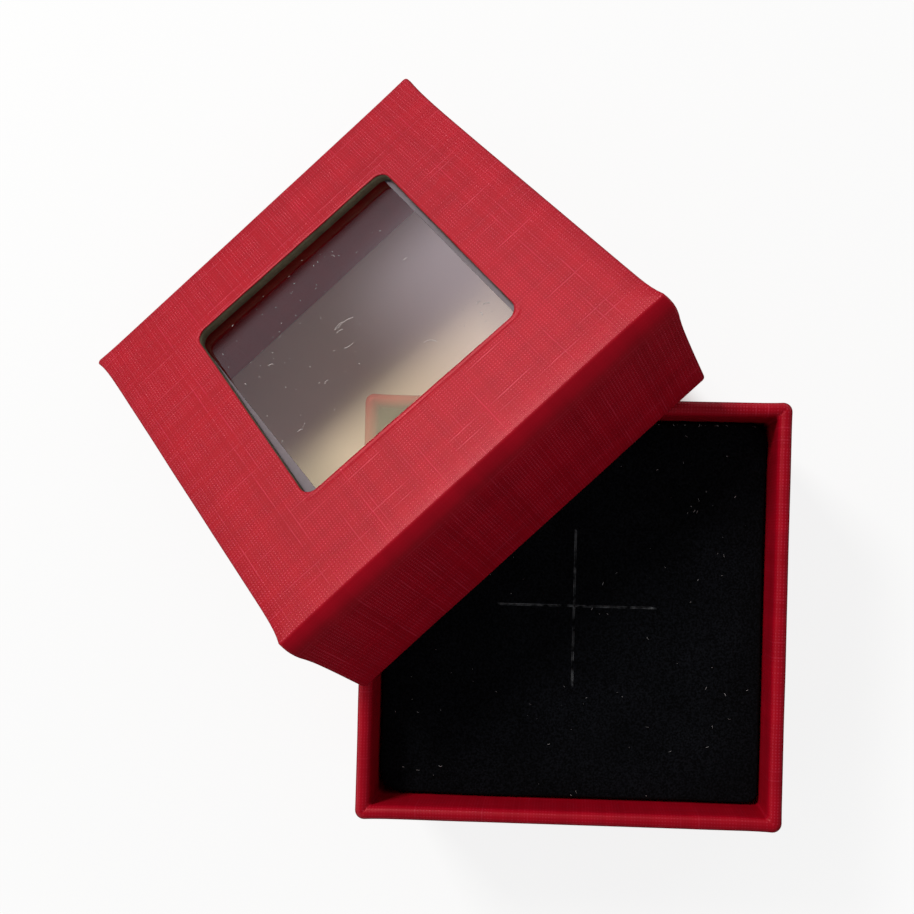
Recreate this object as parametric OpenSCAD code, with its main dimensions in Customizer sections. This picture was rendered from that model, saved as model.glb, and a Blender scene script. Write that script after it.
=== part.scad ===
// Ring display box: a small rigid cardboard box in red linen-embossed paper.
// The open base holds a black flocked foam pad with a cross slit for a ring.
// The loose window lid leans on the base: its low edge stands on the table and
// its raised side rests on the base's left rim.
// Millimetres. Origin at the centre of the base's underside, +Z up, +Y to the back.

/* [Base] */
// Outer width and depth of the base
base_width = 50; // [40:1:70]
// Height of the base from the table to its rim
base_height = 24; // [18:0.5:30]
// Height of bare board inside the base, from its floor to the turned-in paper
base_bare_band = 2.7; // [0.5:0.1:8]

/* [Lid] */
// Height of the lid's skirt, over its top panel
lid_height = 16.3; // [13:0.1:22]
// Gap on each side between the closed lid's inside and the base
lid_clearance = 0.26; // [0.15:0.01:0.6]
// Height of bare board inside the lid, from its top panel to the turned-in paper
lid_bare_band = 3; // [0.5:0.1:6]

/* [Board and paper] */
// Thickness of the greyboard
board_thickness = 1.2; // [0.8:0.1:2]
// Thickness of the wrap paper
paper_thickness = 0.12; // [0.08:0.01:0.2]
// Outer radius of the four upright corners
corner_radius = 0.5; // [0.4:0.05:2]
// Outer radius of the folds between the closed panel and the walls
fold_radius = 0.7; // [0.4:0.05:1.2]
// Outer radius of the paper where it turns over a rim
rim_radius = 0.4; // [0.25:0.05:0.45]
// Slit between neighbouring wall ends of a folded board
wall_end_gap = 0.1; // [0.05:0.01:0.3]

/* [Corner stays] */
// Length of each leg of a stay tape, along its wall
stay_leg = 7; // [4:0.5:12]
// Thickness of the stay tape, pressed flush into the board
stay_thickness = 0.1; // [0.05:0.01:0.12]
// Distance from a stay tape's ends to the rim and to the closed panel
stay_end_margin = 1.5; // [1.5:0.1:4]

/* [Window] */
// Width of the lid's top panel beside the window cut in its wrap
window_border = 11.25; // [9.5:0.05:16]
// Corner radius of the window
window_radius = 1.5; // [0.5:0.1:5]
// Turn of the cut in the wrap, seen from above
window_turn = -1.4; // [-3:0.1:3]
// Shift of the window from the lid's middle towards the raised side
window_shift_x = -1.8; // [-3:0.1:3]
// Shift of the window from the lid's middle towards the right side
window_shift_y = 0.2; // [-3:0.1:3]
// How much narrower the straight cut in the board is than the cut in the wrap
board_window_inset = 0.2; // [0:0.1:1.5]

/* [Film] */
// How far the square film reaches past each side of the window
film_margin = 6.05; // [5.95:0.05:7.5]
// Thickness of the film
film_thickness = 0.2; // [0.1:0.05:0.4]
// Width of a double-sided tape strip
tape_width = 5; // [3:0.1:5.5]
// Thickness of a double-sided tape strip
tape_thickness = 0.1; // [0.05:0.01:0.2]
// How far the middle of a tape strip's inner edge shows inside the window
tape_show = 0.4; // [0:0.1:1]
// Turn of the tape strips, laid by hand
tape_turn = 1.2; // [0:0.1:2]

/* [Foam pad] */
// Gap on each side between the pad and the inside of the base
pad_clearance = 0.3; // [0.2:0.05:1]
// Depth of the pad's top below the base's rim
pad_recess = 5.7; // [5:0.1:9]
// Radius of the pad's upright corners
pad_corner_radius = 2.2; // [1:0.1:5]
// Radius of the pad's top edges
pad_edge_radius = 0.45; // [0.1:0.05:0.45]
// Thickness of the flocked face sheet
flock_thickness = 0.5; // [0.5:0.05:1]
// Length of each arm of the cross slit, end to end
slit_length = 19; // [8:0.5:34]
// Width of the slit
slit_width = 0.4; // [0.2:0.05:1]
// Thickness of the foam left under the slit
slit_floor = 6; // [2:0.5:10]
// Shift of the slit from the middle to the right
slit_shift_x = 0.2; // [-1:0.1:1]
// Shift of the slit from the middle to the back
slit_shift_y = 0.4; // [-1:0.1:1]

/* [Leaning lid] */
// Turn of the lid about the upright axis
lid_yaw = -46.3; // [-50:0.1:-40]
// Distance from the base's back left corner down the left rim to where the lid rests
rest_down = 31.15; // [29:0.05:34]
// Distance from the lid's raised side in to where its skirt rests
rest_inset = 3.5; // [3:0.1:6]
// Gap that is left where the lid rests on the rim
rest_gap = 0.1; // [0.05:0.01:0.5]

/* [Hidden] */
$fn = 48;

// A cut runs this far past the face it opens
past = 1;

// Wall of a wrapped tray: board with paper on both faces
wall = board_thickness + 2 * paper_thickness;
// Closed panel of a wrapped tray: board with paper on its outside only
panel = board_thickness + paper_thickness;
lid_width = base_width + 2 * (lid_clearance + wall);

window_width = lid_width - 2 * window_border;
film_width = window_width + 2 * film_margin;

// The pad stands on the floor of the base and fills it but for a gap
pad_width = base_width - 2 * (wall + pad_clearance);
pad_top = base_height - pad_recess;
flock_bottom = pad_top - flock_thickness;

// Depths below the outside of the lid's top panel
tape_top = panel;
film_top = tape_top + tape_thickness;

// The lean: the rounded low rim touches the table and the skirt's underside,
// rest_inset in from the raised side, lies rest_gap above the base's rim
lean_run = lid_width - rest_inset - rim_radius;
lean_rise = base_height + rest_gap - rim_radius;
lid_lean = asin(lean_rise / sqrt(lean_run * lean_run + rim_radius * rim_radius))
    + atan(rim_radius / lean_run);
// The point where the lid rests: on the base, and in the lid's own frame
rest_point = [-base_width / 2, base_width / 2 - rest_down, base_height + rest_gap];
rest_point_on_lid = [lid_width / 2 - rest_inset, wall - lid_width / 2, -lid_height];

// ---------------------------------------------------------------- shapes

// Square outline with round corners, centred
module rounded_square(width, radius) {
    inner = width - 2 * radius;
    square([width, inner], center = true);
    square([inner, width], center = true);
    for (x = [-inner / 2, inner / 2], y = [-inner / 2, inner / 2])
        translate([x, y]) circle(radius);
}

// Upright square prism with round corners, standing on bottom
module rounded_prism(width, radius, bottom, top) {
    translate([0, 0, bottom]) linear_extrude(top - bottom) rounded_square(width, radius);
}

// Rectangle with its own radius at each corner, given anticlockwise from low left.
// A corner with radius 0 stays square.
module rounded_rectangle(low, high, radii) {
    corners = [low, [high.x, low.y], high, [low.x, high.y]];
    inward = [[1, 1], [-1, 1], [-1, -1], [1, -1]];
    difference() {
        translate(low) square(high - low);
        for (k = [0 : 3])
            if (radii[k] > 0) {
                centre = corners[k] + radii[k] * inward[k];
                difference() {
                    translate(centre - (inward[k] + [1, 1]) * radii[k] / 2)
                        square(radii[k]);
                    translate(centre) circle(radii[k]);
                }
            }
    }
}

// The same section swept along four sides of a square and mitred at its corners.
// The section is drawn for the left side: x runs in to the middle, y runs up.
module four_sided(width) {
    for (turn = [0 : 90 : 270])
        rotate([0, 0, turn])
            intersection() {
                translate([0, width / 2, 0]) rotate([90, 0, 0])
                    linear_extrude(width) children();
                linear_extrude(2 * width)
                    polygon([[0, 0], [-width, -width], [-width, width]]);
            }
}

// Section of one side of a tray, from the outer face to the middle,
// with every outer face drawn in by skin
module tray_section(width, height, skin) {
    rounded_rectangle(
        [skin - width / 2, skin], [wall - skin - width / 2, height - skin],
        [fold_radius - skin, 0, rim_radius - skin, rim_radius - skin]);
    translate([fold_radius - width / 2, skin])
        square([width / 2 - fold_radius, panel - skin]);
}

// Full space of the folded board, before its wall ends are parted
module board_envelope(width, height) {
    intersection() {
        four_sided(width) tray_section(width, height, paper_thickness);
        rounded_prism(width - 2 * paper_thickness, corner_radius - paper_thickness,
            0, height);
    }
}

// Greyboard tray standing on its closed panel
module board_tray(width, height) {
    difference() {
        board_envelope(width, height);
        for (corner = [0 : 3]) stay_tape(width, height, corner);
        for (turn = [45 : 90 : 315])
            rotate([0, 0, turn]) translate([0, -wall_end_gap / 2, panel])
                cube([width, wall_end_gap, height]);
    }
}

// Stay tape round one upright corner; corners run clockwise from the back left
module stay_tape(width, height, corner) {
    outer_width = width - 2 * paper_thickness;
    outer_radius = corner_radius - paper_thickness;
    rotate([0, 0, -90 * corner])
        intersection() {
            difference() {
                rounded_prism(outer_width, outer_radius, stay_end_margin,
                    height - stay_end_margin);
                rounded_prism(outer_width - 2 * stay_thickness,
                    outer_radius - stay_thickness, 0, height);
            }
            translate([-outer_width / 2 - past, outer_width / 2 - stay_leg, 0])
                cube([stay_leg + past, stay_leg + past, height]);
        }
}

// Wrap paper over the outside and the rim of a tray, and turned in down to bare_band
module wrap_tray(width, height, bare_band) {
    inside = width - 2 * (wall - paper_thickness);
    difference() {
        intersection() {
            four_sided(width) tray_section(width, height, 0);
            rounded_prism(width, corner_radius, 0, height);
        }
        board_envelope(width, height);
        translate([-inside / 2, -inside / 2, paper_thickness])
            cube([inside, inside, panel + bare_band - paper_thickness]);
    }
}

// Window cut through the lid's top panel, of any width and turn
module window_cut(width, turn) {
    translate([window_shift_x, window_shift_y, -panel - past]) rotate([0, 0, turn])
        linear_extrude(panel + 2 * past) rounded_square(width, window_radius);
}

// Slab with two round top edges, which run along its turned Y axis
module round_topped_slab(width, bottom, top, turn) {
    rotate([0, 0, turn]) translate([0, width / 2, 0]) rotate([90, 0, 0])
        linear_extrude(width)
            rounded_rectangle([-width / 2, bottom], [width / 2, top],
                [0, 0, pad_edge_radius, pad_edge_radius]);
}

// Cross slit for the ring, cut down from the flocked face
module cross_slit() {
    bottom = panel + slit_floor;
    translate([slit_shift_x, slit_shift_y, bottom])
        for (turn = [0, 90])
            rotate([0, 0, turn]) translate([-slit_length / 2, -slit_width / 2, 0])
                cube([slit_length, slit_width, pad_top - bottom + past]);
}

// Puts a lid piece, drawn with the top panel's outer face at z = 0, onto the base
module lean_lid() {
    translate(rest_point) rotate([0, 0, lid_yaw]) rotate([0, -lid_lean, 0])
        translate(-rest_point_on_lid) children();
}

// Turns a tray over, so that its closed panel becomes the lid's top
module turned_over() {
    mirror([0, 0, 1]) children();
}

// ---------------------------------------------------------------- base

// Folded greyboard tray of the base
module base_board() {
    color("#8f8a78") board_tray(base_width, base_height);
}

// Paper tape over one corner of the base's board
module base_corner_stay(corner) {
    color("#b08a5a") stay_tape(base_width, base_height, corner);
}

// Red embossed paper of the base
module base_wrap() {
    color("#b0202c") wrap_tray(base_width, base_height, base_bare_band);
}

// ---------------------------------------------------------------- insert

// Foam block with the cross slit
module foam_pad() {
    color("#202022")
        difference() {
            rounded_prism(pad_width, pad_corner_radius, panel, flock_bottom);
            cross_slit();
        }
}

// Flocked sheet on top of the foam
module flocked_face() {
    color("#0d0d0f")
        difference() {
            intersection() {
                rounded_prism(pad_width, pad_corner_radius, flock_bottom, pad_top);
                round_topped_slab(pad_width, flock_bottom, pad_top, 0);
                round_topped_slab(pad_width, flock_bottom, pad_top, 90);
            }
            cross_slit();
        }
}

// ---------------------------------------------------------------- lid

// Folded greyboard tray of the lid, with the window cut out
module lid_board() {
    color("#8f8a78")
        lean_lid()
            difference() {
                turned_over() board_tray(lid_width, lid_height);
                window_cut(window_width - board_window_inset, 0);
            }
}

// Paper tape over one corner of the lid's board
module lid_corner_stay(corner) {
    color("#b08a5a") lean_lid() turned_over() stay_tape(lid_width, lid_height, corner);
}

// Red embossed paper of the lid, with the window cut out
module lid_wrap() {
    color("#b0202c")
        lean_lid()
            difference() {
                turned_over() wrap_tray(lid_width, lid_height, lid_bare_band);
                window_cut(window_width, window_turn);
            }
}

// Clear film behind the window
module window_film() {
    color("#c9c2b8", 0.35)
        lean_lid()
            translate([window_shift_x, window_shift_y, -film_top - film_thickness / 2])
                cube([film_width, film_width, film_thickness], center = true);
}

// Tape strip along one side of the window: side is -1 for left and 1 for right
module film_tape(side) {
    inner_edge = (window_width - board_window_inset) / 2 - tape_show;
    color("#a79aa0")
        lean_lid()
            translate([window_shift_x, window_shift_y + side * inner_edge, -tape_top])
                rotate([0, 0, -side * tape_turn])
                    translate([-film_width / 2, min(side, 0) * tape_width, -tape_thickness])
                        cube([film_width, tape_width, tape_thickness]);
}

base_board();
base_corner_stay(0);  // base_corner_stay_back_left
base_corner_stay(1);  // base_corner_stay_back_right
base_corner_stay(2);  // base_corner_stay_front_right
base_corner_stay(3);  // base_corner_stay_front_left
base_wrap();
foam_pad();
flocked_face();
lid_board();
lid_corner_stay(0);  // lid_corner_stay_floor_right
lid_corner_stay(1);  // lid_corner_stay_raised_right
lid_corner_stay(2);  // lid_corner_stay_raised_left
lid_corner_stay(3);  // lid_corner_stay_floor_left
lid_wrap();
window_film();
film_tape(-1);  // film_tape_left
film_tape(1);  // film_tape_right
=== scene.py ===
import math
import random
from collections import namedtuple

import bmesh
import bpy
from mathutils import Matrix, Vector, noise


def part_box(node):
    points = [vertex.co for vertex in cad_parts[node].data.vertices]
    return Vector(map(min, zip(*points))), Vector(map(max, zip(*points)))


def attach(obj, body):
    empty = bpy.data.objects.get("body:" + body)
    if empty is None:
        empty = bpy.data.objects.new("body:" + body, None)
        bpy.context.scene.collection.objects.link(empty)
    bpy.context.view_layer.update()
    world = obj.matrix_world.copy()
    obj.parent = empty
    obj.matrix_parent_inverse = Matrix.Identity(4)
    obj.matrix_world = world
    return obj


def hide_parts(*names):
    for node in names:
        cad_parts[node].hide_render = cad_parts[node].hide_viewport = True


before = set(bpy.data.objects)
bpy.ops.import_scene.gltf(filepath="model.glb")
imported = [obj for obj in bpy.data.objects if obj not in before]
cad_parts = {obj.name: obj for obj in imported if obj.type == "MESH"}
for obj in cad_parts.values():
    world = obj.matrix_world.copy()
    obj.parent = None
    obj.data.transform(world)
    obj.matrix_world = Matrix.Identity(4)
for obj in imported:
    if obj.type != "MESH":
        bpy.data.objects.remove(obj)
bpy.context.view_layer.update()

bl_info = {
    "name": "Ring display box",
    "version": (1, 0, 0),
    "blender": (4, 5, 0),
    "location": "View3D > Sidebar > Ring box",
    "description": "Dresses a paper-covered ring box with a flocked foam pad and a leaning window lid",
    "category": "Add Mesh",
}

MM = 0.001


# ---------------------------------------------------------------- what the user can change

def length(name, description, millimetres, least=0.0):
    """A size in metres, given here in millimetres."""
    return bpy.props.FloatProperty(name=name, description=description, default=millimetres * MM,
                                   min=least * MM, precision=5, unit="LENGTH", subtype="DISTANCE")


def angle(name, description, degrees):
    """An angle in radians, given here in degrees."""
    return bpy.props.FloatProperty(name=name, description=description, default=math.radians(degrees),
                                   unit="ROTATION", subtype="ANGLE")


def share(name, description, value, most=1.0):
    """A plain number."""
    return bpy.props.FloatProperty(name=name, description=description, default=value,
                                   min=0.0, max=most, subtype="FACTOR")


def linear(code):
    """An sRGB hex colour such as "#B41A28" as linear red, green and blue."""
    parts = [int(code[at:at + 2], 16) / 255 for at in (1, 3, 5)]
    return [c / 12.92 if c <= 0.04045 else ((c + 0.055) / 1.055) ** 2.4 for c in parts]


def colour(name, description, code):
    """A colour, given as sRGB hex."""
    return bpy.props.FloatVectorProperty(name=name, description=description, default=linear(code),
                                         size=3, min=0.0, max=1.0, subtype="COLOR")


BASE_LOW, BASE_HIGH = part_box("base_wrap")


class RINGBOX_PG_box(bpy.types.PropertyGroup):
    """Sizes that the base and the lid share, and the base's own."""
    width: length("Base width", "Outer width and depth of the base", (BASE_HIGH.x - BASE_LOW.x) / MM)
    height: length("Base height", "From the table to the base's rim", BASE_HIGH.z / MM)
    bare_band: length("Base bare band", "Bare board inside the base, under the turned-in paper", 2.7)
    board: length("Board", "Thickness of the greyboard", 1.2)
    paper: length("Paper", "Thickness of the wrap paper", 0.12)
    corner_radius: length("Corner radius", "Outer radius of the upright corners", 0.5)
    bulge: length("Rim bulge", "How far the walls lean out at the rim", 0.2)
    rim_corner: length("Rim corner radius", "Outer radius of the base's corners at the rim", 1.05)
    inner_radius: length("Inner corner radius", "Radius of the paper in the inner corners", 0.5)
    fold_radius: length("Fold radius", "Outer radius of the folds round the base's bottom", 0.7)
    pressed: length("Pressed fold", "How far the smooth band of a fold runs down the wall", 0.6)


class RINGBOX_PG_lid(bpy.types.PropertyGroup):
    """Sizes of the lid, its window and the way it leans."""
    height: length("Lid height", "Height of the skirt over the top panel", 16.3)
    rim_radius: length("Rim radius", "Radius of the paper where it turns over the lid's rim", 0.4)
    fold_radius: length("Lid fold radius", "Outer radius of the crisp fold round the top panel", 0.6)
    slant: angle("Fold slant", "How far the wall leans in, just below the fold", 45)
    slant_right: share("Slant, right side", "Share of that slant on the lid's right side", 0.3)
    slant_left: share("Slant, left side", "Share of that slant on the lid's left side", 0.0)
    slant_floor: share("Slant, floor side", "Share of that slant on the side on the table", 0.0)
    slant_length: length("Slant length", "Over how much of the wall the slant fades out", 3.2)
    roll: length("Roll", "How far the edge of the top panel rolls off before the fold", 0.07)
    clearance: length("Clearance", "Gap on each side between the closed lid and the base", 0.26)
    bare_band: length("Lid bare band", "Bare board inside the lid, above the turned-in paper", 3.0)
    border: length("Window border", "Width of the top panel beside the window", 11.25)
    inset: length("Board inset", "How far the board's cut stands back from the paper's cut", 0.06)
    window_radius: length("Window radius", "Corner radius of the window", 1.5)
    film_depth: length("Film depth", "From the panel's outer face down to the film", 1.42)
    window_turn: angle("Window turn", "Turn of the cut in the wrap", -1.4)
    window_x: length("Window shift, raised side", "From the lid's middle to the raised side", -1.8, -5)
    window_y: length("Window shift, right side", "From the lid's middle to the right side", 0.2, -5)
    yaw: angle("Lid yaw", "Turn of the lid about the upright axis", -46.3)
    rest_down: length("Rest point", "From the base's back left corner down the left rim", 31.15)
    rest_inset: length("Rest inset", "From the lid's raised side to where its skirt rests", 3.5)
    rest_gap: length("Rest gap", "Gap where the lid rests on the rim", 0.1)


class RINGBOX_PG_pad(bpy.types.PropertyGroup):
    """Sizes of the foam pad and its slit."""
    clearance: length("Pad clearance", "Gap between the pad and the inside of the base", 0.3)
    recess: length("Pad recess", "Depth of the pad's top below the rim", 5.7)
    back_radius: length("Back corner radius", "Radius of the pad's two back corners", 2.2)
    left_radius: length("Front left radius", "Radius of the pad's front left corner", 2.7)
    right_radius: length("Front right radius", "Radius of the pad's front right corner", 1.2)
    edge_radius: length("Pad edge radius", "Radius of the pad's top edges", 0.45)
    slit_length: length("Slit length", "End to end of each arm of the cross", 19.0)
    slit_gap: length("Slit gap", "Width of the slit between its springy lips", 0.08)
    lip: length("Slit lip", "Width of the bare foam that shows on each side of the slit", 0.13)
    slit_floor: length("Foam under the slit", "Thickness of foam left under the slit", 6.0)
    slit_x: length("Slit shift, right", "From the pad's middle to the right", 0.2, -5)
    slit_y: length("Slit shift, back", "From the pad's middle to the back", 0.4, -5)


class RINGBOX_PG_hand(bpy.types.PropertyGroup):
    """How far the hand-made box strays from its drawing."""
    lid_ear: length("Lid corner ears", "How far the folded paper stands out at the lid's corners", 0.42)
    lid_flare: length("Lid rim flare", "How far the lid's rim stands out at its corners", 0.06)
    base_ear: length("Base corner ears", "How far the paper stands out at the base's bottom corners", 0.2)
    base_flare: length("Base rim flare", "How far the base's rim stands out at its corners", 0.1)
    ear_reach: length("Ear reach", "How far along a side most ears reach", 1.4)
    long_ear_reach: length("Long ear reach", "How far the ear at the lid's floor right corner reaches", 3.4)
    wave: length("Waviness", "How uneven the glued paper lies", 0.06)
    cut_wave: length("Cut waviness", "How uneven the knife cuts are", 0.05)
    mitre: length("Mitre groove", "Depth of the groove where the paper is folded in at a corner", 0.12)
    pad_wave: length("Pad waviness", "How uneven the pad's cut sides are", 0.22)
    lint: bpy.props.IntProperty(name="Lint", description="How many lint fibres cling to the pad",
                                default=150, min=0)
    dust: bpy.props.IntProperty(name="Dust", description="How many specks lie on the window film",
                                default=90, min=0)
    seed: bpy.props.IntProperty(name="Seed", description="Changes where lint and dust lie", default=4)


class RINGBOX_PG_finish(bpy.types.PropertyGroup):
    """Colours and the scale of the surface patterns."""
    red: colour("Red paper", "Colour of the wrap paper between the embossed dots", "#A60019")
    # The paler red on top of the embossed dots is a painted highlight of the emboss.
    dot_highlight_red: colour("Rubbed red", "Colour on top of the embossed dots", "#D03A52")
    gloss: colour("Gloss tint", "Tint of the highlights on the dyed coating", "#FF969E")
    thread: length("Thread pitch", "Distance between the threads of the linen emboss", 0.36, 0.05)
    emboss: length("Emboss depth", "Height of the embossed dots", 0.024)
    greyboard: colour("Greyboard", "Colour of the recycled board", "#6A6450")
    kraft: colour("Stay paper", "Colour of the corner stays", "#B08A5A")
    flock: colour("Flock", "Colour of the black flocked pad", "#08090C")
    foam: colour("Bare foam", "Colour of the cut foam along the slit", "#6E7074")
    lint: colour("Lint", "Colour of the fibres that stick to the pad", "#8C888A")
    dust: colour("Dust", "Colour of the hairs and specks on the film", "#CCC4C3")
    film: colour("Film tint", "What each face of the aged film lets through", "#F5EFE8")
    tape: colour("Film tape", "Colour of the double-sided tape", "#6B6068")


class RINGBOX_PG_stage(bpy.types.PropertyGroup):
    """The camera, lights and floor."""
    camera_x: length("Camera right", "Camera's place to the right of the base's middle", -0.827, -500)
    camera_y: length("Camera back", "Camera's place behind the base's middle", 8.969, -500)
    camera_z: length("Camera height", "Camera's height over the table", 146.399)
    tip: angle("Camera tip", "Turn of the camera about the row's X axis", -0.1218)
    tilt: angle("Camera tilt", "Turn of the camera about the row's Y axis", 1.5387)
    roll: angle("Camera roll", "Turn of the camera about its own line of sight", 1.4906)
    key: share("Key light", "How bright the key light makes white paper that faces it", 0.68, 10)
    faint: share("Faint wall", "Brightness of the faint grey wall that the film reflects", 0.5, 10)
    grey: share("Grey wall", "How much brighter that wall is on the right", 1.75, 10)
    panel: share("Cream wall", "Brightness of the cream wall that the film reflects", 2.7, 10)
    ambient: share("Ambient light", "Brightness of the room all round", 0.335, 10)


# ---------------------------------------------------------------- derived sizes

Shape = namedtuple("Shape", "wall panel lid_width window_width pad_width pad_top")


def shape_of(scene):
    """Sizes that follow from the driving ones, in metres."""
    box, lid, pad = scene.ringbox_box, scene.ringbox_lid, scene.ringbox_pad
    wall = box.board + 2 * box.paper
    lid_width = box.width + 2 * (lid.clearance + wall)
    return Shape(wall=wall, panel=box.board + box.paper, lid_width=lid_width,
                 window_width=lid_width - 2 * lid.border,
                 pad_width=box.width - 2 * (wall + pad.clearance), pad_top=box.height - pad.recess)


def lid_place(scene):
    """From the lid's own frame, its panel's outer face at z = 0, to where it leans on the base."""
    box, lid, shape = scene.ringbox_box, scene.ringbox_lid, shape_of(scene)
    run = shape.lid_width - lid.rest_inset - lid.rim_radius
    rise = box.height + lid.rest_gap - lid.rim_radius
    lean = math.asin(rise / math.hypot(run, lid.rim_radius)) + math.atan(lid.rim_radius / run)
    rest = Vector((-box.width / 2, box.width / 2 - lid.rest_down, box.height + lid.rest_gap))
    rest_on_lid = Vector((shape.lid_width / 2 - lid.rest_inset, shape.wall - shape.lid_width / 2,
                          -lid.height))
    return (Matrix.Translation(rest) @ Matrix.Rotation(lid.yaw, 4, "Z")
            @ Matrix.Rotation(-lean, 4, "Y") @ Matrix.Translation(-rest_on_lid))


# ---------------------------------------------------------------- node trees

def add(tree, kind, inputs=None, out=0, **settings):
    """Adds a node with its settings, its values and its links, and returns one of its outputs."""
    made = tree.nodes.new("ShaderNode" + kind)
    for name, value in settings.items():
        setattr(made, name, value)
    for socket, value in (inputs or {}).items():
        if isinstance(value, bpy.types.NodeSocket):
            tree.links.new(value, made.inputs[socket])
        else:
            made.inputs[socket].default_value = value
    return made.outputs[out] if made.outputs else None


def new_material(name):
    """An empty node material."""
    material = bpy.data.materials.new(name)
    material.use_nodes = True
    material.node_tree.nodes.clear()
    return material, material.node_tree


def opaque(colour_value):
    """Red, green and blue with full alpha."""
    return (*colour_value, 1.0)


def mottled(tree, pattern, levels, tones, plain):
    """A plain colour made darker and paler: these levels of the pattern become these tones."""
    tone = add(tree, "MapRange", {0: pattern, 1: levels[0], 2: levels[1], 3: tones[0], 4: tones[1]})
    return add(tree, "VectorMath", {0: plain, "Scale": tone}, operation="SCALE")


# The linen emboss, counted in threads: how far its rows wander off the straight, and how fast.
WANDER, WANDER_RATE = 0.25, 0.11
# Where the foot of a dot lies on the cosine across its thread.
DOT_FOOT = -0.45
# How many of the threads are faint, and the least height of a thread and of a dot on it.
FAINT_SHARE, FAINTEST_THREAD, FAINTEST_DOT = 0.4, 0.3, 0.7
# How many of the threads have thick slubs, how high these are, how fast they come and go along
# the thread, and the levels of the noise between which one rises.
SLUB_SHARE, SLUB_HEIGHT, SLUB_RATE, SLUB_LEVELS = 0.14, 0.5, 0.06, (0.45, 0.65)
# Broad stripes in the dye: how fast they change across and along the threads, the levels of the
# noise, and the darkest and the palest tone.
STRIPE_RATES, STRIPE_LEVELS, STRIPE_TONES = (0.16, 0.018), (0.7, 1.3), (0.9, 1.08)
# What pressing leaves of the emboss in a fold, and how much of the paler red, a painted highlight, the top
# of a dot takes.
LEFT_IN_FOLDS, DOT_HIGHLIGHT_SHARE = 0.06, 0.95
# Roughness between the dots and on the polished tops, and the height at which a top starts.
GROUND_ROUGHNESS, TOP_ROUGHNESS, TOP_HEIGHT = 0.42, 0.24, 0.6


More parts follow.
